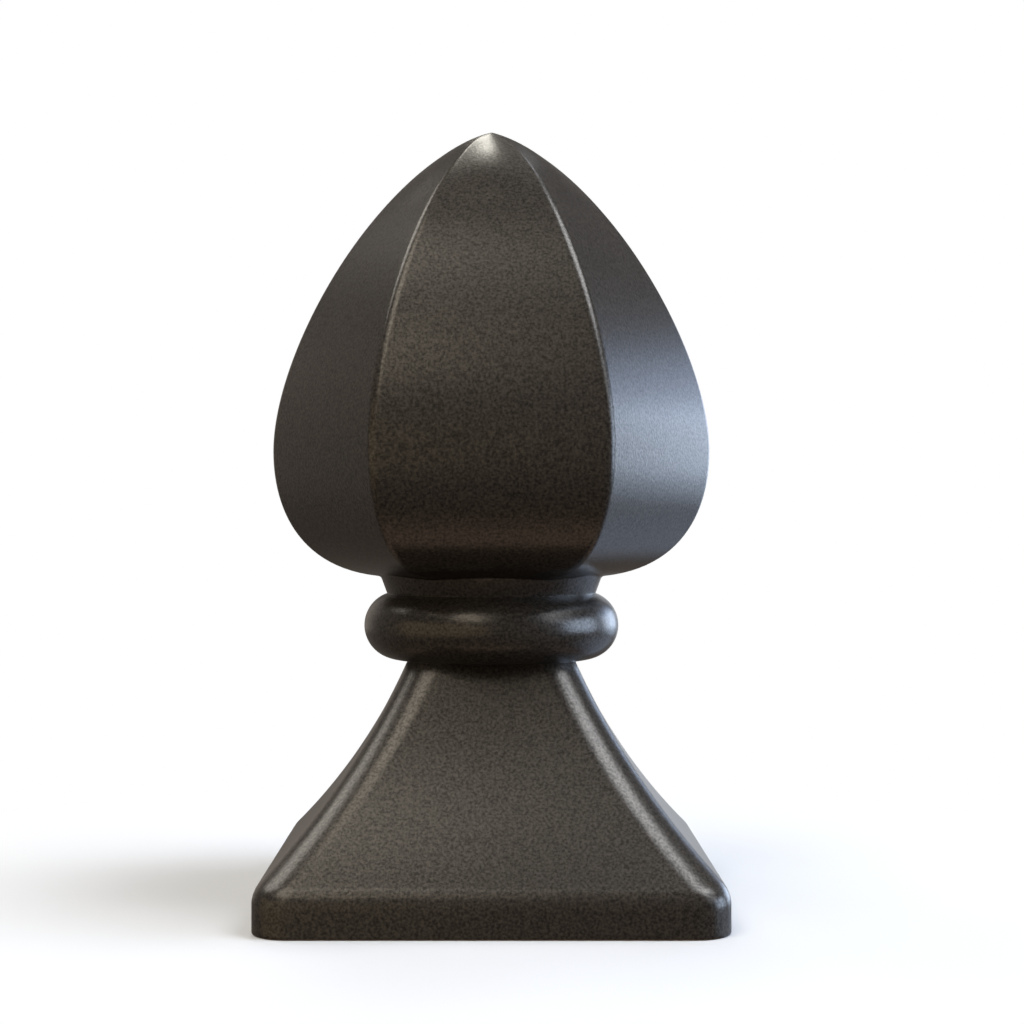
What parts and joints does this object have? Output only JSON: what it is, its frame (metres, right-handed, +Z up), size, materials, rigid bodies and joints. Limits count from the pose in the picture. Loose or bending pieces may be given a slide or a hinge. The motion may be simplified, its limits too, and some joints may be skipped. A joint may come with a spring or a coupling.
{
  "type": "post cap",
  "caption": "Cast metal post cap: a hollow square swept base that sits over a square post, a round collar and a faceted acorn finial.",
  "frame": {"origin": "middle of the square underside, on the plane that the rim stands on", "axes": "+Z up along the finial's axis; X and Y square to the base's sides, with a flat side of the acorn facing -Y"},
  "size_m": [0.0574, 0.0574, 0.1003],
  "materials": {
    "powder_coat": "dark bronze-black powder coat with a fine texture, half gloss"
  },
  "bodies": {
    "root": {"post_cap": "powder_coat"}
  },
  "joints": []
}
